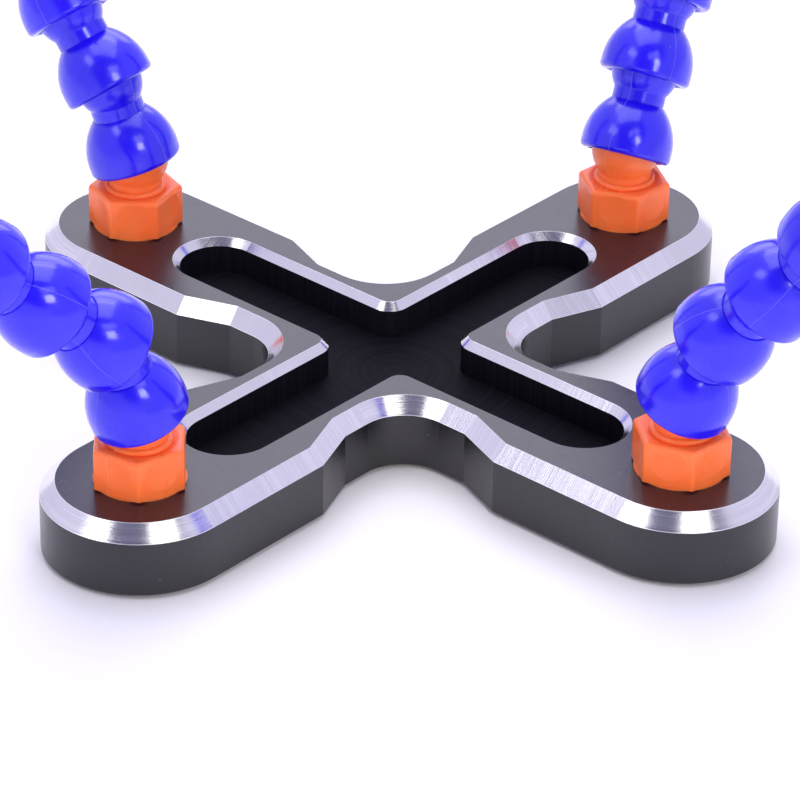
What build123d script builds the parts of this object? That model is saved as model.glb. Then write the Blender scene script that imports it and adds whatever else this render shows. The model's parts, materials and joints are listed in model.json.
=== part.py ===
from build123d import *
import os
from math import acos, atan2, cos, degrees, hypot, radians, sin, sqrt

# Helping hands: an X-shaped base with four arms of ball-and-socket hose, each ending in a spring clip.
# Millimetres, +Z up, origin at the centre of the underside. +X runs out along the front right base
# arm, +Y along the back right, -X along the back left and -Y along the front left.

# Base plate
PAD_THICK = 1.0
PAD_INSET = 2.0
BASE_THICK = 14.0
BASE_TOP = PAD_THICK + BASE_THICK
ARM_REACH = 72.0
END_RADIUS = 19.0
WAIST_HALF_WIDTH = 14.9
WAIST_END = 31.1
SHOULDER_START = 41.9
INNER_FILLET = 9.8
OUTER_CHAMFER = 3.0
TRAY_REACH = 48.1
TRAY_HALF_WIDTH = 8.1
TRAY_DEPTH = 7.5
TRAY_CORNER = 4.2
TRAY_CHAMFER = 1.5
THREAD_RADIUS = 6.6
THREAD_DEPTH = 11.0

# Ball and socket, shared by the fittings and the hose segments
BALL_RADIUS = 7.0
BALL_CLEARANCE = 0.05
SOCKET_RADIUS = BALL_RADIUS + BALL_CLEARANCE
BORE_RADIUS = 3.2
MOUTH_RADIUS = 4.8
BALL_NECK = 5.55
NECK_FILLET = 0.5
CATCH_DROP = 0.4
MOUTH_FLARE = 8.0
LIP_DROP = 1.4
LIP_ROUND = 1.1
BELL_RADIUS = 9.6
BELL_STRAIGHT = 0.6
DOME_BULGE = (8.4, 6.3)
DOME_TOP = (5.75, 9.95)
PITCH = 16.7
SEGMENTS = 9

# Hexagonal base fitting, from the top of the base
FLANGE_RADIUS = 8.9
FLANGE_TOP = 0.35
HEX_FLATS = 17.0
HEX_TOP = 8.7
HEX_CORNER = 0.7
HEX_ROUND = 1.0
DISH_RADIUS = 20.0
DISH_DEPTH = 0.3
DISH_RAISE = 0.6
COLLAR_RADIUS = 6.4
COLLAR_TOP = 9.4
COLLAR_ROUND = 0.8
HOLLOW_RADIUS = 7.4
HOLLOW_DEPTH = 0.3
BALL_HEIGHT = 15.0
STUB_RADIUS = THREAD_RADIUS - 0.05
STUB_LENGTH = 10.0
STUB_BEVEL = 1.0

# End fitting, from the centre of the last ball
END_BULGE = (9.0, 5.4)
END_SHOULDER = (7.2, 8.8)
END_HEX_FLATS = 14.0
END_NECK_RADIUS = 6.4
END_HEX_TOP = 15.0
END_TOP = 18.0
END_TOP_RADIUS = 4.4
END_CAVITY_RADIUS = 4.2
END_CAVITY_TOP = 13.5
STUD_RADIUS = 2.0
STUD_CLEARANCE = 0.05
STUD_HEAD_RADIUS = 3.6
STUD_HEAD_THICK = 1.8
STUD_HEAD_GAP = 0.1

# Spring clip, from the back of its barrel: z along the clip, y towards the moving jaw, x along the rivet
CLIP_GAP = 0.4
SHEET = 0.7
LEVER_SHEET = 0.77
BARREL_RADIUS = 2.9
BARREL_LENGTH = 11.0
CHANNEL_BACK = 9.0
LEVER_BACK = 4.0
PIVOT_Z = 20.0
EAR_BACK = PIVOT_Z - 3.0
EAR_FRONT = PIVOT_Z + 3.0
FIXED_EAR_RADIUS = 3.7
MOVING_EAR_RADIUS = 3.4
WAIST_Z = 26.0
THROAT_Z = 34.0
THROAT_HALF_GAP = 0.6
TIP_Z = 52.0
CLEAR = 12.0
TOOTH_PITCH = 1.6
TOOTH_HEIGHT = 0.8
TOOTH_GAP = 0.1
TEETH = 10
RIVET_RADIUS = 1.5
RIVET_CLEARANCE = 0.06
RIVET_HEAD_RADIUS = 2.4
RIVET_HEAD_THICK = 0.7
FIXED_HALF_WIDTH = 4.0
MOVING_HALF_WIDTH = 3.2
TIP_HALF_WIDTH = 2.6
WIRE_RADIUS = 0.4
COIL_RADIUS = 2.2
COIL_HALF_LENGTH = 1.9
COIL_TURNS = 3.5
LOWER_LEG_END = (-3.55, 14.5)
UPPER_LEG_END = (6.2, 12.0)

# How far the moving jaw opens before its lever nears the barrel, in degrees
JAW_OPEN = 22.0

# Each arm: direction of its base arm, where a corner of its hexagon points, and for its lower
# segments the tilt from upright and the heading away from the base arm. The segments above them
# keep the last heading and straighten by STRAIGHTEN each, until they stand upright.
ARMS = {
    "front_right": (0, 21, [(24, 5), (39, -1), (40, 11), (30, -1)]),
    "back_right": (90, 26, [(31, 15), (33, 14), (36, 14)]),
    "back_left": (180, 42, [(20, 17), (38, 5), (39, -1)]),
    "front_left": (270, 13, [(20, -12), (48, -16), (49, -17), (49, -5)]),
}
STRAIGHTEN = 10

# A ball joint lets the next socket lean this far from the axis of the piece that carries the ball
CONE_LIMIT = 32.0


def arm_frames(name):
    """The ball centre, outward level axis and direction of each piece of an arm, from the first segment."""
    base_angle, _, lower = ARMS[name]
    poses = list(lower)
    while len(poses) < SEGMENTS + 1:
        tilt, heading = poses[-1]
        poses.append((max(tilt - STRAIGHTEN, 0), heading))
    reach = radians(base_angle)
    centre = Vector(ARM_REACH * cos(reach), ARM_REACH * sin(reach), BASE_TOP + BALL_HEIGHT)
    frames = []
    for tilt, heading in poses:
        lean = radians(tilt)
        turn = radians(base_angle + heading)
        direction = Vector(sin(lean) * cos(turn), sin(lean) * sin(turn), cos(lean))
        level = Vector(-sin(turn), cos(turn), 0)
        frames.append((centre, level, direction))
        centre = centre + direction * PITCH
    return frames


def joint_axes(name):
    """For each ball of an arm: its centre, hinge axis and range in degrees about the stored pose.

    The axes step round the arm by a quarter turn from ball to ball, and the range is what keeps the
    piece inside the ball's cone."""
    joints = []
    below = Vector(0, 0, 1)
    for k, (centre, level, direction) in enumerate(arm_frames(name)):
        across = direction.cross(level)
        axis = (level, across, level * -1, across * -1)[k % 4]
        along = below.dot(direction)
        aside = below.dot(axis.cross(direction))
        middle = degrees(atan2(aside, along))
        reach = degrees(acos(min(1.0, cos(radians(CONE_LIMIT)) / hypot(along, aside))))
        joints.append((centre, axis, middle - reach, middle + reach))
        below = direction
    return joints


def cross_outline(inset=0.0):
    """The outline of the X-shaped base, or one drawn in from it by inset."""
    end = END_RADIUS - inset
    waist = WAIST_HALF_WIDTH - inset
    half = [(0, waist), (WAIST_END, waist), (SHOULDER_START, end), (ARM_REACH, end)]
    ring = half + [(x, -y) for x, y in reversed(half)]
    arm = make_face(Polyline(*ring, close=True)) + Pos(ARM_REACH, 0) * Circle(end)
    outline = Sketch() + [Rot(0, 0, 90 * k) * arm for k in range(4)]
    inner = [v for v in outline.vertices() if abs(v.X) < waist + 0.01 and abs(v.Y) < waist + 0.01]
    return fillet(inner, INNER_FILLET + inset)


def tray_outline():
    slot = SlotCenterToCenter(2 * TRAY_REACH, 2 * TRAY_HALF_WIDTH)
    outline = slot + Rot(0, 0, 90) * slot
    near = TRAY_HALF_WIDTH + 0.01
    inner = [v for v in outline.vertices() if abs(v.X) < near and abs(v.Y) < near]
    return fillet(inner, TRAY_CORNER)


def tray_rim(plate):
    """The tray's edges in the top face, the ones that lie nearest the base's centre lines."""
    beside = WAIST_HALF_WIDTH - OUTER_CHAMFER - 1
    rim = []
    for edge in plate.edges().group_by(Axis.Z)[-1]:
        middle = edge.center()
        if min(abs(middle.X), abs(middle.Y)) < beside and hypot(middle.X, middle.Y) < ARM_REACH:
            rim.append(edge)
    return rim


def base_plate():
    plate = Pos(0, 0, PAD_THICK) * extrude(cross_outline(), BASE_THICK)
    plate = chamfer(plate.edges().group_by(Axis.Z)[-1], OUTER_CHAMFER)
    plate -= Pos(0, 0, BASE_TOP - TRAY_DEPTH) * extrude(tray_outline(), TRAY_DEPTH)
    plate = chamfer(tray_rim(plate), TRAY_CHAMFER)
    for k in range(4):
        hole = Pos(ARM_REACH, 0, BASE_TOP - THREAD_DEPTH / 2) * Cylinder(THREAD_RADIUS, THREAD_DEPTH)
        plate -= Rot(0, 0, 90 * k) * hole
    return plate


def non_slip_pad():
    return extrude(cross_outline(PAD_INSET), PAD_THICK)


def turned(*edges):
    """The solid that a closed outline of (radius, height) makes when it's turned about Z."""
    return revolve(Plane.XZ * make_face(Curve() + list(edges)), Axis.Z)


def ring_edge(solid, radius, height):
    """The circular edge of a turned solid at this radius and height."""
    at = [e for e in solid.edges().filter_by(GeomType.CIRCLE) if abs(e.arc_center.Z - height) < 0.001]
    return [e for e in at if abs(e.radius - radius) < 0.001]


def on_ball(radius, centre=0.0, side=1, ball=BALL_RADIUS):
    """The point of a ball's outline at this radius, above or below its centre."""
    return (radius, centre + side * sqrt(ball**2 - radius**2))


def ball_edges(centre, neck):
    """A ball's outline from the neck up over its widest point to its open mouth."""
    start = on_ball(neck, centre, -1)
    mouth = on_ball(MOUTH_RADIUS, centre)
    return start, mouth, ThreePointArc(start, (BALL_RADIUS, centre), mouth)


def socket_edges(bore, shoulder, bulge):
    """A bell's outline from its bore down the socket, round the lip and up the dome to its shoulder.

    The socket goes only CATCH_DROP past the ball's widest, and flares from there to the lip."""
    roof = on_ball(bore, ball=SOCKET_RADIUS)
    catch = (sqrt(SOCKET_RADIUS**2 - CATCH_DROP**2), -CATCH_DROP)
    rim = (BELL_RADIUS - LIP_ROUND, -LIP_DROP)
    corner = (BELL_RADIUS, LIP_ROUND - LIP_DROP)
    slant = LIP_ROUND * sin(radians(45))
    round_over = (rim[0] + slant, corner[1] - slant)
    widest = (BELL_RADIUS, BELL_STRAIGHT)
    edges = [
        ThreePointArc(roof, (SOCKET_RADIUS * cos(radians(30)), SOCKET_RADIUS * sin(radians(30))), catch),
        Polyline(catch, (MOUTH_FLARE, -LIP_DROP), rim),
        ThreePointArc(rim, round_over, corner),
        Line(corner, widest),
        ThreePointArc(widest, bulge, shoulder),
    ]
    return roof, edges


def hexagon(flats, height):
    """A hexagonal block on z = 0, with its upright and top edges rounded."""
    block = extrude(RegularPolygon(flats / 2, 6, major_radius=False), height)
    block = fillet(block.edges().filter_by(Axis.Z), HEX_CORNER)
    return fillet(block.edges().group_by(Axis.Z)[-1], HEX_ROUND)


def base_fitting():
    """Hexagonal fitting with its threaded stub, standing on z = 0."""
    start, mouth, ball = ball_edges(BALL_HEIGHT, BALL_NECK)
    chain = Polyline(
        mouth,
        (BORE_RADIUS, mouth[1]),
        (BORE_RADIUS, -STUB_LENGTH),
        (STUB_RADIUS - STUB_BEVEL, -STUB_LENGTH),
        (STUB_RADIUS, STUB_BEVEL - STUB_LENGTH),
        (STUB_RADIUS, 0),
        (FLANGE_RADIUS, 0),
        (FLANGE_RADIUS, FLANGE_TOP),
        (COLLAR_RADIUS, FLANGE_TOP),
        (COLLAR_RADIUS, COLLAR_TOP),
        (BALL_NECK, COLLAR_TOP),
        start,
    )
    core = turned(ball, chain)
    core = fillet(ring_edge(core, COLLAR_RADIUS, COLLAR_TOP), COLLAR_ROUND)
    core = fillet(ring_edge(core, *start), NECK_FILLET)
    block = Pos(0, 0, FLANGE_TOP) * hexagon(HEX_FLATS, HEX_TOP - FLANGE_TOP)
    middle = (FLANGE_TOP + HEX_TOP) / 2 + DISH_RAISE
    for k in range(6):
        dish = Pos(HEX_FLATS / 2 + DISH_RADIUS - DISH_DEPTH, 0, middle) * Sphere(DISH_RADIUS)
        block -= Rot(0, 0, 60 * k + 30) * dish
    block -= Pos(0, 0, HEX_TOP / 2) * Cylinder(COLLAR_RADIUS - 1, 2 * HEX_TOP)
    block -= Pos(0, 0, HEX_TOP - HOLLOW_DEPTH / 2) * Cone(COLLAR_RADIUS, HOLLOW_RADIUS, HOLLOW_DEPTH)
    return core + block


def hose_segment():
    """One hose segment, with the centre of its socket at the origin and its ball up the z axis."""
    roof, bell = socket_edges(BORE_RADIUS, DOME_TOP, DOME_BULGE)
    start, mouth, ball = ball_edges(PITCH, BALL_NECK)
    bore = Polyline(mouth, (BORE_RADIUS, mouth[1]), roof)
    neck = Polyline(DOME_TOP, (BALL_NECK, DOME_TOP[1]), start)
    segment = turned(*bell, neck, ball, bore)
    return fillet(ring_edge(segment, *start), NECK_FILLET)


def end_fitting():
    """Fitting on the last ball, with a bore in its top for the stud that the clip swivels on."""
    roof, bell = socket_edges(END_CAVITY_RADIUS, END_SHOULDER, END_BULGE)
    hole = STUD_RADIUS + STUD_CLEARANCE
    chain = Polyline(
        END_SHOULDER,
        (END_NECK_RADIUS, END_HEX_TOP),
        (END_TOP_RADIUS, END_TOP),
        (hole, END_TOP),
        (hole, END_CAVITY_TOP),
        (END_CAVITY_RADIUS, END_CAVITY_TOP),
        roof,
    )
    core = turned(*bell, chain)
    block = Pos(0, 0, END_SHOULDER[1]) * hexagon(END_HEX_FLATS, END_HEX_TOP - END_SHOULDER[1])
    block -= Pos(0, 0, END_TOP / 2) * Cylinder((END_CAVITY_RADIUS + END_NECK_RADIUS) / 2, 2 * END_TOP)
    return core + block


def tooth_line(lift):
    """The sawtooth edge where the jaws meet, as (z, y) from the tip back, moved up by lift."""
    points = []
    for k in range(TEETH):
        z = TIP_Z - k * TOOTH_PITCH
        points.append((z, lift - TOOTH_HEIGHT / 2))
        points.append((z - TOOTH_PITCH / 2, lift + TOOTH_HEIGHT / 2))
    points.append((TIP_Z - TEETH * TOOTH_PITCH, lift - TOOTH_HEIGHT / 2))
    return points


def side_prism(points, half_width):
    """A prism across the clip, from a closed (z, y) outline."""
    outline = make_face(Polyline(*[(y, z) for z, y in points], close=True))
    side = Plane(origin=(0, 0, 0), x_dir=(0, 1, 0), z_dir=(1, 0, 0))
    return extrude(side * outline, half_width, both=True)


def plan_prism(points, inset):
    """A prism through the clip from (z, half width) points, drawn in by inset."""
    ring = [(half - inset, z) for z, half in points]
    ring += [(inset - half, z) for z, half in reversed(points)]
    plan = Plane(origin=(0, 0, 0), x_dir=(1, 0, 0), z_dir=(0, -1, 0))
    return extrude(plan * make_face(Polyline(*ring, close=True)), 2 * CLEAR, both=True)


def across_pivot(radius):
    """A cylinder along the rivet's axis: the hole for the rivet, or the round end of the jaws' ears."""
    return Pos(0, 0, PIVOT_Z) * Rot(0, 90, 0) * Cylinder(radius, 2 * CLEAR)


def fixed_jaw():
    """The jaw that carries the barrel: a channel of bent sheet, open towards the moving jaw."""
    floor = [(CHANNEL_BACK, -BARREL_RADIUS), (15.0, -5.0), (WAIST_Z, -5.0), (TIP_Z, -1.6)]
    edge = tooth_line(-TOOTH_GAP) + [
        (THROAT_Z, -THROAT_HALF_GAP),
        (WAIST_Z, -THROAT_HALF_GAP),
        (EAR_FRONT, 1.2),
        (EAR_BACK, 1.2),
        (CHANNEL_BACK, 0.5),
    ]
    plan = [
        (CHANNEL_BACK, BARREL_RADIUS),
        (12.5, FIXED_HALF_WIDTH),
        (WAIST_Z, FIXED_HALF_WIDTH),
        (TIP_Z, TIP_HALF_WIDTH),
    ]
    outer = side_prism(floor + edge, CLEAR)
    outer += across_pivot(FIXED_EAR_RADIUS)
    outer &= plan_prism(plan, 0.0)
    raised = [(z, y + SHEET) for z, y in floor]
    back, front = raised[0][1], raised[-1][1]
    hollow = [(0.0, back)] + raised + [(TIP_Z + 1, front), (TIP_Z + 1, CLEAR), (0.0, CLEAR)]
    longer = [(0.0, BARREL_RADIUS)] + plan + [(TIP_Z + 1, TIP_HALF_WIDTH)]
    jaw = outer - (side_prism(hollow, CLEAR) & plan_prism(longer, SHEET))
    jaw += Pos(0, 0, BARREL_LENGTH / 2) * Cylinder(BARREL_RADIUS, BARREL_LENGTH)
    jaw -= Pos(0, 0, BARREL_LENGTH / 2) * Cylinder(STUD_RADIUS, BARREL_LENGTH)
    return jaw - across_pivot(RIVET_RADIUS)


def moving_jaw():
    """The jaw with the thumb lever: a channel open towards the fixed jaw, with its ears inside it."""
    roof = [(TIP_Z, 1.5), (28.0, 4.6), (22.0, 5.2), (EAR_BACK, 5.6), (LEVER_BACK, 11.0)]
    edge = [
        (LEVER_BACK, 9.0),
        (12.0, 5.2),
        (EAR_BACK, -1.5),
        (EAR_FRONT, -1.5),
        (WAIST_Z, THROAT_HALF_GAP),
        (THROAT_Z, THROAT_HALF_GAP),
    ]
    plan = [(LEVER_BACK, MOVING_HALF_WIDTH), (WAIST_Z, MOVING_HALF_WIDTH), (TIP_Z, TIP_HALF_WIDTH)]
    outer = side_prism(roof + edge + tooth_line(TOOTH_GAP)[::-1], CLEAR)
    outer += across_pivot(MOVING_EAR_RADIUS)
    outer &= plan_prism(plan, 0.0)
    lowered = [(z, y - LEVER_SHEET) for z, y in roof]
    front, back = lowered[0][1], lowered[-1][1] + 1
    hollow = [(TIP_Z + 1, front)] + lowered + [(0.0, back), (0.0, -CLEAR), (TIP_Z + 1, -CLEAR)]
    longer = [(0.0, MOVING_HALF_WIDTH)] + plan + [(TIP_Z + 1, TIP_HALF_WIDTH)]
    jaw = outer - (side_prism(hollow, CLEAR) & plan_prism(longer, SHEET))
    return jaw - across_pivot(RIVET_RADIUS + RIVET_CLEARANCE)


def rivet():
    """The pivot rivet, lying along x through the jaws' ears."""
    head = Cylinder(RIVET_HEAD_RADIUS, RIVET_HEAD_THICK)
    head = fillet(head.edges().group_by(Axis.Z)[-1], RIVET_HEAD_THICK * 0.6)
    shank = Cylinder(RIVET_RADIUS, 2 * FIXED_HALF_WIDTH)
    far = Pos(0, 0, FIXED_HALF_WIDTH + RIVET_HEAD_THICK / 2) * head
    return Pos(0, 0, PIVOT_Z) * Rot(0, 90, 0) * (shank + far + Rot(180, 0, 0) * far)


def swivel_stud():
    """The headed stud that joins the clip to the end fitting, from the clip's frame."""
    length = END_TOP + CLIP_GAP + BARREL_LENGTH - END_CAVITY_TOP
    shank = Pos(0, 0, BARREL_LENGTH - length / 2) * Cylinder(STUD_RADIUS, length)
    head_top = BARREL_LENGTH - length - STUD_HEAD_GAP
    head = Pos(0, 0, head_top - STUD_HEAD_THICK / 2) * Cylinder(STUD_HEAD_RADIUS, STUD_HEAD_THICK)
    neck = Pos(0, 0, head_top) * Cylinder(STUD_RADIUS, 4 * STUD_HEAD_GAP)
    return shank + neck + head


def wire(start, end):
    """A straight length of spring wire with rounded ends."""
    run = Vector(*end) - Vector(*start)
    rod = Plane(origin=start, z_dir=run) * extrude(Circle(WIRE_RADIUS), run.length)
    return rod + Pos(*start) * Sphere(WIRE_RADIUS) + Pos(*end) * Sphere(WIRE_RADIUS)


def torsion_spring():
    """A coil round the rivet, with one leg on the fixed jaw's floor and one under the lever."""
    pitch = 2 * COIL_HALF_LENGTH / COIL_TURNS
    helix = Helix(pitch, 2 * COIL_HALF_LENGTH, COIL_RADIUS, lefthand=True)
    coil = sweep(Plane(origin=helix @ 0, z_dir=helix % 0) * Circle(WIRE_RADIUS), path=helix, is_frenet=True)
    coil = Pos(-COIL_HALF_LENGTH, 0, PIVOT_Z) * Rot(0, 90, 0) * Rot(0, 0, -90) * coil
    lower_leg = wire((-COIL_HALF_LENGTH, -COIL_RADIUS, PIVOT_Z), (-COIL_HALF_LENGTH, *LOWER_LEG_END))
    upper_leg = wire((COIL_HALF_LENGTH, COIL_RADIUS, PIVOT_Z), (COIL_HALF_LENGTH, *UPPER_LEG_END))
    return coil + lower_leg + upper_leg


def place_at(centre, level, direction):
    """The placement that puts a piece's z axis along direction and its x axis along level."""
    return Location(Plane(origin=centre, x_dir=level, z_dir=direction))


def write(node, *solids):
    shape = solids[0] if len(solids) == 1 else Compound(children=list(solids))
    export_step(shape, f"parts/{node}.step")


def main():
    os.makedirs("parts", exist_ok=True)
    write("base_plate", base_plate())
    write("non_slip_pad", non_slip_pad())
    fitting = base_fitting()
    placed = []
    for angle, corner, _ in ARMS.values():
        spot = Rot(0, 0, angle) * Pos(ARM_REACH, 0, BASE_TOP) * Rot(0, 0, corner - angle)
        placed.append(spot * fitting)
    write("base_fittings", *placed)
    segment = hose_segment()
    end = end_fitting()
    clip_parts = {
        "fixed_jaw": fixed_jaw(),
        "moving_jaw": moving_jaw(),
        "torsion_spring": torsion_spring(),
    }
    pins = [swivel_stud(), rivet()]
    for name in ARMS:
        frames = arm_frames(name)
        for k, frame in enumerate(frames[:-1]):
            write(f"{name}_hose_segment_{k + 1}", place_at(*frame) * segment)
        centre, level, direction = frames[-1]
        write(f"{name}_end_fitting", place_at(centre, level, direction) * end)
        place = place_at(centre + direction * (END_TOP + CLIP_GAP), level, direction)
        write(f"{name}_clip_pins", *[place * pin for pin in pins])
        for part, shape in clip_parts.items():
            write(f"{name}_clip_{part}", place * shape)


if __name__ == "__main__":
    main()
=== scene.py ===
import json
from math import cos, pi, radians, sin

import bmesh
import bpy
from mathutils import Matrix, Vector


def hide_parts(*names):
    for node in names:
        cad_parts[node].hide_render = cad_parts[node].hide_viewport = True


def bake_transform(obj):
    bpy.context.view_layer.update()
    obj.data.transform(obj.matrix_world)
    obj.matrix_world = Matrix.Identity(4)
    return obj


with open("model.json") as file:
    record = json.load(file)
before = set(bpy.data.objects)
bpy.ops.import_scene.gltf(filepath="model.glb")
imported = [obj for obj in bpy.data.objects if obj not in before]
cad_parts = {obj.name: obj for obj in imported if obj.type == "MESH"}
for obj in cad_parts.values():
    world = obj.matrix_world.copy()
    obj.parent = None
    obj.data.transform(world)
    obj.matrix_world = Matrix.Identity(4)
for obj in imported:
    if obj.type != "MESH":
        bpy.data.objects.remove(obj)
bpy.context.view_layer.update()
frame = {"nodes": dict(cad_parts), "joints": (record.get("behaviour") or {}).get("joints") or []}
scene = bpy.context.scene

MM = 0.001
ARMS = ("front_right", "back_right", "back_left", "front_left")
SEGMENTS = 9

# The camera: lens and sensor in millimetres, place in metres, angles in degrees
LENS = 189.0
SENSOR = 36.0
CAMERA_PLACE = (0.4759, -0.5460, 0.4280)
CAMERA_HEADING = 40.98
CAMERA_DOWN = 30.54
CAMERA_ROLL = 0.96

# The world: its two colours, and where its dark patch is, with the angles from its middle at which the
# patch is fully dark and at which it ends, in degrees
STUDIO_LIGHT = (0.76, 0.73, 0.97)
STUDIO_DARK = (0.16, 0.15, 0.26)
PATCH_AZIMUTH = -42.0
PATCH_ELEVATION = 50.0
PATCH_CORE = 26.0
PATCH_EDGE = 44.0

# Half the width of the sheet that the base stands on, in metres, and its colour
FLOOR_REACH = 6.0
FLOOR_COLOUR = (0.88, 0.88, 0.90)

# The sizes the materials need, as the CAD model has them, in millimetres
BASE_TOP = 15.0
OUTER_CHAMFER = 3.0
TRAY_BOTTOM = 7.5
TRAY_REACH = 57.0
TRAY_HALF_WIDTH = 11.0
ARM_REACH = 72.0
END_RADIUS = 19.0
FILLET_CENTRE = 24.7

# How a polygon of the base is sorted: the upward share of a chamfer's normal and how far off it may be,
# and the slack below the tray's floor and the rim above its walls, in millimetres
CHAMFER_UP = cos(pi / 4)
CHAMFER_SLACK = 0.05
TRAY_SLACK = 0.1
TRAY_RIM = 1.0

# The widths of the painted highlight lines along a bright cut edge's lower and upper borders, and of a
# moulding's parting line, in millimetres
LOWER_EDGE_HIGHLIGHT = 0.10
UPPER_EDGE_HIGHLIGHT = 0.09
PARTING_CORE = 0.06
PARTING_EDGE = 0.16

# How much further round each segment of an arm has its parting line, in degrees
SEAM_STEP = 55.0

# The plated pieces of a clip: tint, roughness and how their rolled lines are stretched along x, y and z
PLATING = {
    "sheet": ((0.66, 0.64, 0.60), 0.26, (1.0, 1.0, 0.06)),
    "pins": ((0.60, 0.59, 0.57), 0.24, (1.0, 1.0, 2.5)),
    "wire": ((0.52, 0.52, 0.53), 0.30, (0.4, 1.0, 1.0)),
}
STAIN_TONE = 0.72

# The torsion spring, from the clip's pivot, in millimetres
WIRE_RADIUS = 0.4
COIL_RADIUS = 2.2
COIL_HALF_LENGTH = 1.9
COIL_TURNS = 3.5
LOWER_LEG_END = (-3.55, -5.5)
UPPER_LEG_END = (6.2, -8.0)
COIL_STEPS = 150
LEG_STEPS = 12


# ---------------------------------------------------------------- a small kit for shader trees

# The Mix node's two inputs and its output, for each kind of value
MIX_SOCKETS = {"FLOAT": (2, 3, 0), "RGBA": (6, 7, 2)}


class NodeTree:
    """A shader tree built up node by node. Values are sockets or plain numbers, in metres."""

    def __init__(self, tree, place):
        self.tree = tree
        self.place = self.add("ShaderNodeTexCoord").outputs[place]

    def add(self, kind, **settings):
        node = self.tree.nodes.new(kind)
        for name, value in settings.items():
            setattr(node, name, value)
        return node

    def feed(self, socket, value):
        """Sets an input to a number, a colour or another node's output."""
        if isinstance(value, bpy.types.NodeSocket):
            self.tree.links.new(value, socket)
        elif isinstance(value, tuple) and len(value) == 3 and socket.type == "RGBA":
            socket.default_value = (*value, 1.0)
        else:
            socket.default_value = value

    def math(self, operation, a, b=0.0):
        node = self.add("ShaderNodeMath", operation=operation)
        self.feed(node.inputs[0], a)
        self.feed(node.inputs[1], b)
        return node.outputs[0]

    def vector_math(self, operation, a, b):
        node = self.add("ShaderNodeVectorMath", operation=operation)
        self.feed(node.inputs[0], a)
        self.feed(node.inputs[1], b)
        return node.outputs["Value" if operation == "DOT_PRODUCT" else "Vector"]

    def split(self, vector=None):
        node = self.add("ShaderNodeSeparateXYZ")
        self.feed(node.inputs[0], self.place if vector is None else vector)
        return tuple(node.outputs)

    def join(self, x, y, z):
        node = self.add("ShaderNodeCombineXYZ")
        for socket, value in zip(node.inputs, (x, y, z)):
            self.feed(socket, value)
        return node.outputs[0]

    def local(self, matrix):
        """Coordinates in a piece's own frame, given the matrix that places that frame."""
        place, turn, _ = matrix.decompose()
        shifted = self.vector_math("SUBTRACT", self.place, tuple(place))
        axes = turn.to_matrix().transposed()
        return self.join(*(self.vector_math("DOT_PRODUCT", shifted, tuple(axis)) for axis in axes))

    def stretch(self, vector, scale):
        return self.vector_math("MULTIPLY", vector, scale)

    def ramp(self, value, low, high, start=0.0, end=1.0):
        """Value from low to high becomes start to end, smoothly and no further."""
        node = self.add("ShaderNodeMapRange", interpolation_type="SMOOTHSTEP")
        for name, number in (("From Min", low), ("From Max", high), ("To Min", start), ("To Max", end)):
            node.inputs[name].default_value = number
        self.feed(node.inputs["Value"], value)
        return node.outputs[0]

    def blend(self, kind, share, a, b):
        first, second, result = MIX_SOCKETS[kind]
        node = self.add("ShaderNodeMix", data_type=kind)
        self.feed(node.inputs[0], share)
        self.feed(node.inputs[first], a)
        self.feed(node.inputs[second], b)
        return node.outputs[result]

    def mix(self, share, a, b):
        """A colour between a and b."""
        return self.blend("RGBA", share, a, b)

    def between(self, share, a, b):
        """A number between a and b."""
        return self.blend("FLOAT", share, a, b)

    def noise(self, vector=None, scale=100.0, detail=2.0, rough=0.5):
        node = self.add("ShaderNodeTexNoise")
        self.feed(node.inputs["Vector"], self.place if vector is None else vector)
        node.inputs["Scale"].default_value = scale
        node.inputs["Detail"].default_value = detail
        node.inputs["Roughness"].default_value = rough
        return node.outputs["Fac"]

    def cells(self, scale):
        """Scattered round cells: the distance from each cell's middle, and a colour drawn for each."""
        node = self.add("ShaderNodeTexVoronoi")
        self.feed(node.inputs["Vector"], self.place)
        node.inputs["Scale"].default_value = scale
        return node.outputs["Distance"], node.outputs["Color"]

    def specks(self, scale, size, amount):
        """Small scattered marks, 1 on a mark and 0 off it. Amount is the share of cells that have one."""
        distance, drawn = self.cells(scale)
        near = self.math("LESS_THAN", distance, size)
        chosen = self.math("LESS_THAN", self.split(drawn)[0], amount)
        return self.math("MULTIPLY", near, chosen)


class Shader(NodeTree):
    """A material, whose nodes all lead to its one Principled shader."""

    def __init__(self, name):
        self.material = bpy.data.materials.new(name)
        self.material.use_nodes = True
        super().__init__(self.material.node_tree, "Object")
        self.main = self.tree.nodes["Principled BSDF"]
        self.last_normal = None

    def surface(self, **values):
        """Sets the shader's inputs by name, such as base_color for Base Color."""
        for name, value in values.items():
            title = name.replace("_", " ").title().replace("Ior", "IOR")
            self.feed(self.main.inputs[title], value)

    def bump(self, height, distance, strength):
        """Adds relief on top of any that the material has already."""
        node = self.add("ShaderNodeBump")
        node.inputs["Strength"].default_value = strength
        node.inputs["Distance"].default_value = distance
        self.feed(node.inputs["Height"], height)
        if self.last_normal is not None:
            self.feed(node.inputs["Normal"], self.last_normal)
        self.last_normal = node.outputs[0]
        self.feed(self.main.inputs["Normal"], self.last_normal)


# ---------------------------------------------------------------- camera, light and floor

def make_camera():
    """The photograph's view: from the front corner between two arms, looking down about 30 degrees."""
    data = bpy.data.cameras.new("camera")
    data.sensor_width = SENSOR
    data.lens = LENS
    data.clip_start = 0.05
    data.clip_end = 20.0
    camera = bpy.data.objects.new("camera", data)
    scene.collection.objects.link(camera)
    heading = Matrix.Rotation(radians(CAMERA_HEADING), 4, "Z")
    pitch = Matrix.Rotation(radians(90 - CAMERA_DOWN), 4, "X")
    roll = Matrix.Rotation(radians(CAMERA_ROLL), 4, "Z")
    place = Matrix.Translation(CAMERA_PLACE)
    camera.matrix_world = place @ heading @ pitch @ roll
    scene.camera = camera


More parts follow.
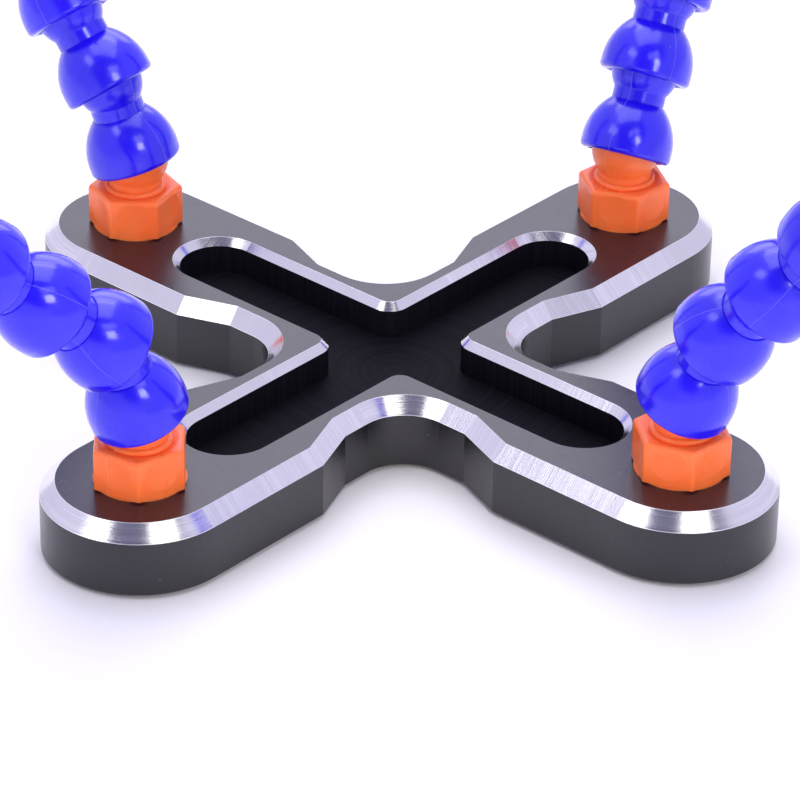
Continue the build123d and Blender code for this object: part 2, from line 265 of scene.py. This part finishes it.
def softbox(name, place, target, size, radiance, colour=(1.0, 0.98, 0.92)):
    """A rectangular light whose face has the given radiance. Places and sizes are in metres."""
    data = bpy.data.lights.new(name, "AREA")
    data.shape = "RECTANGLE"
    data.size, data.size_y = size
    data.energy = radiance * pi * data.size * data.size_y
    data.color = colour
    light = bpy.data.objects.new(name, data)
    scene.collection.objects.link(light)
    light.location = place
    light.rotation_mode = "QUATERNION"
    light.rotation_quaternion = (Vector(target) - Vector(place)).to_track_quat("-Z", "Y")
    return light


def make_lights():
    """The studio's softboxes. The low one in front is kept out of the reflections."""
    middle = (0.0, 0.0, 0.05)
    softbox("overhead", (-0.4, 0.4, 3.2), middle, (3.0, 3.0), 1.65)
    softbox("sweep_box", (-1.3, 1.5, 2.4), (-1.0, 1.15, 0.0), (2.2, 1.2), 2.2)
    softbox("front_box", (0.42, -0.16, 0.60), (0.03, -0.03, 0.02), (0.32, 0.14), 2.2)
    softbox("flash", (0.918, -0.352, 0.688), middle, (0.34, 0.30), 9.0)
    softbox("left_box", (-0.24, -0.66, 0.84), middle, (0.40, 0.26), 2.6)
    softbox("back_box", (-0.75, 0.85, 0.65), middle, (1.2, 0.5), 1.5, (1.0, 0.97, 1.12))
    fill = softbox("front_fill", (1.5, -1.75, 0.45), middle, (2.4, 0.7), 4.6, (1.0, 0.87, 0.77))
    fill.visible_glossy = False


def make_world():
    """A lavender-white studio, whose unlit room above and behind the camera is a soft dark patch."""
    world = bpy.data.worlds.new("studio")
    scene.world = world
    world.use_nodes = True
    studio = NodeTree(world.node_tree, "Generated")
    azimuth, elevation = radians(PATCH_AZIMUTH), radians(PATCH_ELEVATION)
    patch = (cos(azimuth) * cos(elevation), sin(azimuth) * cos(elevation), sin(elevation))
    toward = studio.vector_math("DOT_PRODUCT", studio.place, patch)
    share = studio.ramp(toward, cos(radians(PATCH_EDGE)), cos(radians(PATCH_CORE)))
    colour = studio.mix(share, STUDIO_LIGHT, STUDIO_DARK)
    studio.feed(world.node_tree.nodes["Background"].inputs["Color"], colour)


def make_floor():
    """The white sheet under the base, with a faint paper grain."""
    mesh = bpy.data.meshes.new("floor")
    work = bmesh.new()
    bmesh.ops.create_grid(work, x_segments=1, y_segments=1, size=FLOOR_REACH)
    work.to_mesh(mesh)
    work.free()
    floor = bpy.data.objects.new("floor", mesh)
    scene.collection.objects.link(floor)
    sheet = Shader("floor_sheet")
    sheet.surface(base_color=FLOOR_COLOUR, roughness=0.55)
    grain = sheet.noise(scale=240.0, detail=3.0)
    sheet.bump(grain, distance=0.00002, strength=0.3)
    floor.data.materials.append(sheet.material)


# ---------------------------------------------------------------- materials

def skin_material():
    """Black anodised aluminium: a bead-blasted grain, faint handling marks and a little dust. The walls
    are painted darker as shade, and the top lighter and purple as a painted sheen.
    """
    s = Shader("black_anodised")
    # Painted light and shade: the first black, for the top, is lighter and purple-tinted as a painted
    # lavender sheen, and the second, for the walls, is darker as painted shade
    lit_top_black, shaded_side_black = (0.0070, 0.0058, 0.0110), (0.0035, 0.0035, 0.0048)
    cloud, speckle, dust_grey = (0.014, 0.013, 0.018), (0.018, 0.017, 0.024), (0.2, 0.2, 0.2)
    up = s.split(s.add("ShaderNodeNewGeometry").outputs["True Normal"])[2]
    grain = s.noise(scale=6500.0, detail=2.0, rough=0.6)
    coarse = s.noise(scale=2400.0, detail=1.0)
    blotch = s.noise(scale=38.0, detail=4.0)
    rub = s.noise(scale=210.0, detail=4.0, rough=0.6)
    dust = s.specks(scale=900.0, size=0.10, amount=0.03)
    # Steep faces, the walls, take the darker painted-shade black
    side = s.math("LESS_THAN", s.math("ABSOLUTE", up), 0.5)
    skin = s.mix(side, lit_top_black, shaded_side_black)
    skin = s.mix(s.ramp(blotch, 0.35, 0.75, 0.0, 0.4), skin, cloud)
    skin = s.mix(s.ramp(coarse, 0.35, 0.65, 0.0, 0.3), skin, speckle)
    skin = s.mix(s.math("MULTIPLY", dust, 0.5), skin, dust_grey)
    rough = s.ramp(rub, 0.3, 0.7, 0.21, 0.25)
    rough = s.math("ADD", rough, s.math("MULTIPLY", grain, 0.05))
    s.surface(base_color=skin, roughness=rough, specular_ior_level=0.65)
    s.bump(grain, distance=0.00003, strength=0.5)
    s.bump(coarse, distance=0.00004, strength=0.3)
    return s.material


def cutter_path(s):
    """How far along the cutter's path a point of an edge is, and 1 where that path is curved."""
    x, y, _ = s.split()
    x, y = s.math("ABSOLUTE", x), s.math("ABSOLUTE", y)
    far, near = s.math("MAXIMUM", x, y), s.math("MINIMUM", x, y)
    at_end = s.math("GREATER_THAN", far, ARM_REACH * MM)
    at_fillet = s.math("LESS_THAN", far, FILLET_CENTRE * MM)
    turn = s.math("ARCTAN2", near, s.math("SUBTRACT", far, ARM_REACH * MM))
    along = s.between(at_end, far, s.math("MULTIPLY", turn, END_RADIUS * MM))
    return along, s.math("MAXIMUM", at_end, at_fillet)


def cut_material():
    """Aluminium cut bright: the cutter's ticks across straight edges, and its rings round the curves,
    with a painted highlight line along its upper and lower borders.
    """
    s = Shader("bright_cut_aluminium")
    valley, crest = (0.76, 0.755, 0.77), (0.93, 0.93, 0.93)
    # The second colour here is a painted highlight, for the thin lines along the edge's borders
    smeared, edge_highlight_white = (0.68, 0.67, 0.69), (0.92, 0.92, 0.93)
    along, curved = cutter_path(s)
    height = s.split()[2]
    fine = s.noise(s.join(along, 0.0, 0.0), scale=2600.0, detail=3.0, rough=0.7)
    broad = s.noise(s.join(along, 0.0, 0.0), scale=420.0, detail=3.0, rough=0.6)
    rings = s.noise(s.join(0.0, 0.0, height), scale=4200.0, detail=2.0, rough=0.7)
    wide_rings = s.noise(s.join(s.math("MULTIPLY", along, 0.02), 0.0, height), scale=1300.0, detail=2.0)
    smear = s.noise(scale=150.0, detail=4.0, rough=0.6)
    patches = s.noise(scale=26.0, detail=1.0)
    tooling = s.between(curved, fine, rings)
    bands = s.between(curved, broad, wide_rings)
    tone = s.math("ADD", s.math("MULTIPLY", tooling, 0.55), s.math("MULTIPLY", bands, 0.45))
    # Painted highlight: the edge's lowest and highest strips are painted near white and made rougher
    low = s.math("LESS_THAN", height, (BASE_TOP - OUTER_CHAMFER + LOWER_EDGE_HIGHLIGHT) * MM)
    high = s.math("GREATER_THAN", height, (BASE_TOP - UPPER_EDGE_HIGHLIGHT) * MM)
    edge_highlight_mask = s.math("MAXIMUM", low, high)
    ticked = s.ramp(patches, 0.42, 0.60, 0.15, 1.0)
    depth = s.math("MULTIPLY", ticked, s.ramp(tone, 0.36, 0.64))
    metal = s.mix(depth, valley, crest)
    metal = s.mix(s.ramp(smear, 0.5, 0.8, 0.0, 0.35), metal, smeared)
    rough = s.between(edge_highlight_mask, s.ramp(tooling, 0.25, 0.8, 0.13, 0.25), 0.35)
    s.surface(base_color=s.mix(edge_highlight_mask, metal, edge_highlight_white), roughness=rough, metallic=1.0)
    s.bump(s.math("MULTIPLY", tooling, ticked), distance=0.00006, strength=0.4)
    return s.material


def pocket_material():
    """The tray's matt black, with the faint arcs of the mill that cleared it."""
    s = Shader("matt_black_pocket")
    black, arc_black, dust_grey = (0.0055, 0.0055, 0.0090), (0.0095, 0.0095, 0.0140), (0.12, 0.12, 0.12)
    x, y, _ = s.split()
    radius = s.math("POWER", s.math("ADD", s.math("MULTIPLY", x, x), s.math("MULTIPLY", y, y)), 0.5)
    arcs = s.noise(s.join(radius, 0.0, 0.0), scale=900.0, detail=2.0)
    grain = s.noise(scale=5200.0, detail=2.0, rough=0.6)
    dust = s.specks(scale=800.0, size=0.09, amount=0.03)
    floor = s.mix(s.ramp(arcs, 0.35, 0.7), black, arc_black)
    s.surface(base_color=s.mix(s.math("MULTIPLY", dust, 0.4), floor, dust_grey))
    s.surface(roughness=s.ramp(grain, 0.3, 0.7, 0.50, 0.62), specular_ior_level=0.03)
    s.bump(grain, distance=0.00003, strength=0.5)
    return s.material


def pad_material():
    """Black rubber with a pebbled face and dust rubbed into it."""
    s = Shader("pad_rubber")
    rubber, dusty = (0.012, 0.012, 0.012), (0.035, 0.034, 0.032)
    pebbles, _ = s.cells(scale=900.0)
    grain = s.noise(scale=1800.0, detail=3.0)
    dust = s.noise(scale=60.0, detail=4.0)
    s.surface(base_color=s.mix(s.ramp(dust, 0.45, 0.8), rubber, dusty))
    s.surface(roughness=s.ramp(grain, 0.3, 0.7, 0.75, 0.95))
    s.bump(pebbles, distance=0.0001, strength=0.5)
    return s.material


def moulded_material(name, matrix, colour, deep, seam_highlight_colour, roughness):
    """Glossy moulded plastic with a raised parting line, which is also painted lighter as a highlight,
    faint flow marks and fine scratches.
    """
    s = Shader(name)
    local = s.local(matrix)
    from_parting = s.math("ABSOLUTE", s.split(local)[0])
    flow = s.noise(s.stretch(local, (1.0, 1.0, 0.35)), scale=160.0, detail=4.0)
    ripple = s.noise(local, scale=420.0, detail=2.0)
    scratch = s.noise(s.stretch(local, (0.25, 1.0, 1.0)), scale=1900.0, detail=3.0, rough=0.75)
    dust = s.specks(scale=700.0, size=0.08, amount=0.012)
    parting = s.ramp(from_parting, PARTING_CORE * MM, PARTING_EDGE * MM, 1.0, 0.0)
    base = s.mix(s.ramp(flow, 0.3, 0.75), colour, deep)
    # Painted highlight: the parting line takes a lighter colour, on top of the real relief its bump gives
    # it
    base = s.mix(s.math("MULTIPLY", parting, 0.5), base, seam_highlight_colour)
    base = s.mix(s.math("MULTIPLY", dust, 0.3), base, (0.8, 0.8, 0.8))
    rough = s.ramp(flow, 0.3, 0.7, roughness - 0.03, roughness + 0.05)
    rough = s.math("ADD", rough, s.ramp(scratch, 0.62, 0.75, 0.0, 0.10))
    s.surface(base_color=base, roughness=rough)
    s.bump(ripple, distance=0.00006, strength=0.3)
    s.bump(parting, distance=0.0001, strength=0.8)
    return s


def blue_material(name, matrix):
    """The hose segments' blue, which lets a little light into its surface, under a clear gloss."""
    # The third colour is a painted highlight for the parting line
    colour, deep, seam_highlight_colour = (0.013, 0.003, 0.80), (0.009, 0.002, 0.68), (0.10, 0.09, 0.95)
    s = moulded_material(name, matrix, colour, deep, seam_highlight_colour, roughness=0.21)
    s.surface(subsurface_weight=0.12, subsurface_radius=(0.0004, 0.0004, 0.002), subsurface_scale=1.0)
    s.surface(coat_weight=0.5, coat_roughness=0.11)
    return s.material


def orange_material(name, matrix):
    """The fittings' orange, which glows a little where light passes through its edges."""
    # The third colour is a painted highlight for the parting line
    colour, deep, seam_highlight_colour = (1.0, 0.195, 0.046), (1.0, 0.165, 0.036), (1.0, 0.30, 0.12)
    s = moulded_material(name, matrix, colour, deep, seam_highlight_colour, roughness=0.30)
    s.surface(subsurface_weight=0.5, subsurface_radius=(0.005, 0.0014, 0.0005), subsurface_scale=1.0)
    return s.material


def plated_material(name, matrix, tint, roughness, stretch):
    """Nickel-plated steel: drawn or rolled lines along the piece, stains and small scratches."""
    s = Shader(name)
    local = s.local(matrix)
    rolled = s.noise(s.stretch(local, stretch), scale=2200.0, detail=3.0, rough=0.7)
    stain = s.noise(local, scale=210.0, detail=5.0, rough=0.6)
    scratch = s.noise(s.stretch(local, (1.0, 0.3, 1.6)), scale=1500.0, detail=2.0)
    dull = tuple(STAIN_TONE * channel for channel in tint)
    rough = s.ramp(rolled, 0.3, 0.75, roughness - 0.06, roughness + 0.08)
    rough = s.math("ADD", rough, s.ramp(scratch, 0.66, 0.74, 0.0, 0.12))
    s.surface(base_color=s.mix(s.ramp(stain, 0.42, 0.72), tint, dull), roughness=rough, metallic=1.0)
    s.bump(rolled, distance=0.00002, strength=0.4)
    return s.material


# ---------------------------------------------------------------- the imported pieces

def joint(name):
    return next(j for j in frame["joints"] if j["name"] == name)


def upright(centre, direction, level):
    """The matrix of a frame at centre, with z along direction and x along level."""
    z = Vector(direction).normalized()
    x = Vector(level)
    x = (x - z * x.dot(z)).normalized()
    axes = Matrix((x, z.cross(x), z)).transposed().to_4x4()
    return Matrix.Translation(centre) @ axes


def arm_matrices(arm):
    """The frames of an arm's segments and, last, of its end fitting."""
    centres = [Vector(joint(f"{arm}_ball_{k + 1}")["pos_m"]) for k in range(SEGMENTS + 1)]
    spin = Vector(joint(f"{arm}_clip_swivel")["axis"])
    directions = [b - a for a, b in zip(centres, centres[1:])] + [spin]
    level = -Vector(joint(f"{arm}_jaw")["axis"])
    return [upright(c, d, level) for c, d in zip(centres, directions)]


def paint(node, *materials, which=None):
    """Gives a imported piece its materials. Which says, for a polygon, the number of the one it takes."""
    mesh = frame["nodes"][node].data
    mesh.materials.clear()
    for material in materials:
        mesh.materials.append(material)
    for polygon in mesh.polygons:
        polygon.material_index = which(polygon) if which else 0


def base_surface(polygon):
    """0 for the anodised skin, 1 for a bright cut edge and 2 for the inside of the tray."""
    x, y, z = (value / MM for value in polygon.center)
    far, near = max(abs(x), abs(y)), min(abs(x), abs(y))
    if abs(polygon.normal.z - CHAMFER_UP) < CHAMFER_SLACK and z > BASE_TOP - OUTER_CHAMFER:
        return 1
    over_tray = far < TRAY_REACH and near < TRAY_HALF_WIDTH
    return 2 if over_tray and TRAY_BOTTOM - TRAY_SLACK < z < BASE_TOP - TRAY_RIM else 0


def tube(path, radius, sides=16):
    """A closed round tube along a list of points, with its frame carried along without twist."""
    work = bmesh.new()
    rings = []
    tangent = (path[1] - path[0]).normalized()
    side = tangent.orthogonal().normalized()
    for k, point in enumerate(path):
        before = path[max(k - 1, 0)]
        after = path[min(k + 1, len(path) - 1)]
        turned = (after - before).normalized()
        side = (tangent.rotation_difference(turned) @ side).normalized()
        tangent = turned
        other = tangent.cross(side)
        ring = []
        for n in range(sides):
            angle = 2 * pi * n / sides
            ring.append(work.verts.new(point + (side * cos(angle) + other * sin(angle)) * radius))
        rings.append(ring)
    for a, b in zip(rings, rings[1:]):
        for n in range(sides):
            m = (n + 1) % sides
            work.faces.new((a[n], a[m], b[m], b[n]))
    work.faces.new(list(reversed(rings[0])))
    work.faces.new(rings[-1])
    for face in work.faces:
        face.smooth = True
    mesh = bpy.data.meshes.new("tube")
    work.to_mesh(mesh)
    work.free()
    return mesh


def spring_path():
    """The spring's wire in the clip's frame about the pivot, in metres: leg, coil and leg."""
    coil = []
    for k in range(COIL_STEPS + 1):
        share = k / COIL_STEPS
        angle = -pi / 2 - share * COIL_TURNS * 2 * pi
        x = -COIL_HALF_LENGTH + 2 * COIL_HALF_LENGTH * share
        coil.append(Vector((x, COIL_RADIUS * sin(angle), -COIL_RADIUS * cos(angle))))
    lower = Vector((-COIL_HALF_LENGTH, *LOWER_LEG_END))
    upper = Vector((COIL_HALF_LENGTH, *UPPER_LEG_END))
    first = [lower.lerp(coil[0], k / LEG_STEPS) for k in range(LEG_STEPS)]
    last = [coil[-1].lerp(upper, (k + 1) / LEG_STEPS) for k in range(LEG_STEPS)]
    return [point * MM for point in first + coil + last]


def make_spring(arm, steel):
    """The wound wire that replaces an arm's CAD spring, with one leg on each jaw."""
    hinge = joint(f"{arm}_jaw")
    spin = joint(f"{arm}_clip_swivel")
    clip = upright(Vector(hinge["pos_m"]), spin["axis"], -Vector(hinge["axis"]))
    mesh = tube([clip @ point for point in spring_path()], WIRE_RADIUS * MM)
    spring = bpy.data.objects.new(f"{arm}_spring_wire", mesh)
    scene.collection.objects.link(spring)
    mesh.materials.append(steel)
    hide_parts(f"{arm}_clip_torsion_spring")
    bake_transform(spring)


def dress_arm(arm):
    """Gives every piece of an arm its material, in that piece's own frame, and makes its spring."""
    matrices = arm_matrices(arm)
    for k in range(SEGMENTS):
        spun = matrices[k] @ Matrix.Rotation(radians(SEAM_STEP * k), 4, "Z")
        paint(f"{arm}_hose_segment_{k + 1}", blue_material(f"{arm}_blue_{k + 1}", spun))
    top = matrices[-1]
    paint(f"{arm}_end_fitting", orange_material(f"{arm}_orange", top))
    plated = {part: plated_material(f"{arm}_{part}", top, *look) for part, look in PLATING.items()}
    paint(f"{arm}_clip_fixed_jaw", plated["sheet"])
    paint(f"{arm}_clip_moving_jaw", plated["sheet"])
    paint(f"{arm}_clip_pins", plated["pins"])
    make_spring(arm, plated["wire"])


# ---------------------------------------------------------------- the scene

scene.view_settings.view_transform = "Standard"
make_camera()
make_world()
make_lights()
make_floor()
paint("base_plate", skin_material(), cut_material(), pocket_material(), which=base_surface)
paint("non_slip_pad", pad_material())
paint("base_fittings", orange_material("base_orange", Matrix.Identity(4)))
for arm_name in ARMS:
    dress_arm(arm_name)
